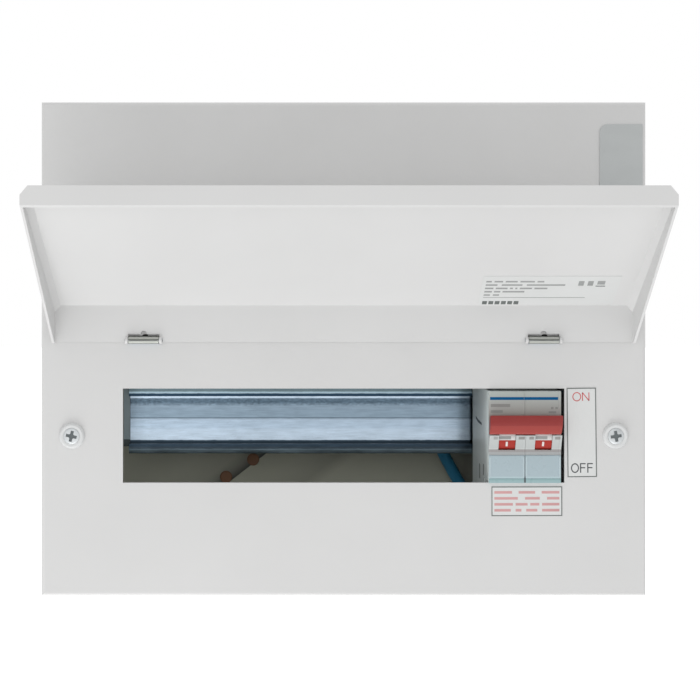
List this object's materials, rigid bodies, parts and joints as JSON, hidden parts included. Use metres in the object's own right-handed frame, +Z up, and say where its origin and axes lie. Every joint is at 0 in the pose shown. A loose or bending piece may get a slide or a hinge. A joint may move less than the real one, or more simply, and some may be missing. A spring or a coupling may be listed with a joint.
{
  "type": "breaker panel box",
  "caption": "Wall-mounted sheet-steel breaker panel box with a hinged lid, a device window over a top-hat rail and a two-pole main switch with a red toggle.",
  "frame": {"origin": "middle of the four wall fixing holes, on the tray's wall face", "axes": "+X to the viewer's right, +Y into the wall, +Z up"},
  "size_m": [0.294, 0.1857, 0.24],
  "materials": {
    "cover_paint": "satin powder coat",
    "lid_paint": "satin powder coat",
    "tray_paint": "satin powder coat",
    "zinc": "zinc plated, bluish",
    "screw_steel": "bright zinc plated",
    "brass": "drawn brass",
    "copper": "plain copper",
    "badge": "matt grey",
    "label_paper": "satin white label",
    "cup_plastic": "white nylon",
    "cable_blue": "PVC insulation",
    "plug_brown": "brown rubber",
    "carrier_blue": "moulded",
    "carrier_green": "moulded",
    "case_grey": "fine spark-eroded moulding",
    "label_window": "pale blue-grey moulding",
    "toggle_red": "moulded",
    "carriage_black": "moulded",
    "clip_white": "moulded"
  },
  "bodies": {
    "enclosure": {"base_tray": "tray_paint", "front_cover": "cover_paint", "cover_bracket_left": "zinc", "cover_bracket_right": "zinc", "cover_screws": "screw_steel", "cover_screw_cups": "cup_plastic", "badge_plate": "badge", "on_off_label": "label_paper", "ruled_label": "label_paper", "hinge_left": "zinc", "hinge_right": "zinc", "hinge_pins": "screw_steel", "din_rail": "zinc", "rail_support_left": "zinc", "rail_support_right": "zinc", "neutral_bar": "brass", "neutral_bar_screws": "screw_steel", "neutral_bar_carrier": "carrier_blue", "earth_bar": "brass", "earth_bar_screws": "screw_steel", "earth_bar_carrier": "carrier_green", "bar_fixing_screws": "screw_steel", "carrier_rivets": "screw_steel", "link_cable": "cable_blue", "link_cable_cores": "copper", "rear_plugs": "plug_brown", "pole_case_left": "case_grey", "pole_case_right": "case_grey", "pole_cheek_left": "case_grey", "pole_cheek_right": "case_grey", "case_rivets": "screw_steel", "label_window_left": "label_window", "label_window_right": "label_window", "terminal_cages_left": "zinc", "terminal_cages_right": "zinc", "terminal_screws": "screw_steel", "fixed_contacts_left": "copper", "fixed_contacts_right": "copper"},
    "lid": {"lid": "lid_paint", "lid_label": "label_paper"},
    "toggle": {"toggle_bar": "toggle_red", "toggle_drum_left": "toggle_red", "toggle_drum_right": "toggle_red", "toggle_axle": "screw_steel"},
    "contacts": {"contact_carriage_left": "carriage_black", "contact_carriage_right": "carriage_black", "contact_bridge_left": "copper", "contact_bridge_right": "copper"},
    "clip": {"rail_clip": "clip_white"}
  },
  "joints": [
    {"name": "lid_hinge", "type": "hinge", "parent": "enclosure", "child": "lid", "pos_m": [0, -0.0991, 0.00445], "axis": [1, 0, 0], "range_deg": [0, 127.59]},
    {"name": "toggle_pivot", "type": "hinge", "parent": "enclosure", "child": "toggle", "pos_m": [0.0879, -0.092, -0.0421], "axis": [1, 0, 0], "range_deg": [0, 60]},
    {"name": "contact_slide", "type": "slide", "parent": "enclosure", "child": "contacts", "axis": [0, -1, 0], "range_m": [0, 0.0041]},
    {"name": "clip_slide", "type": "slide", "parent": "enclosure", "child": "clip", "axis": [0, 0, -1], "range_m": [0, 0.003], "stiffness_N_per_m": 600}
  ],
  "couplings": [
    {"joint": "contact_slide", "follows": "toggle_pivot", "m_per_rad": 0.00382}
  ]
}
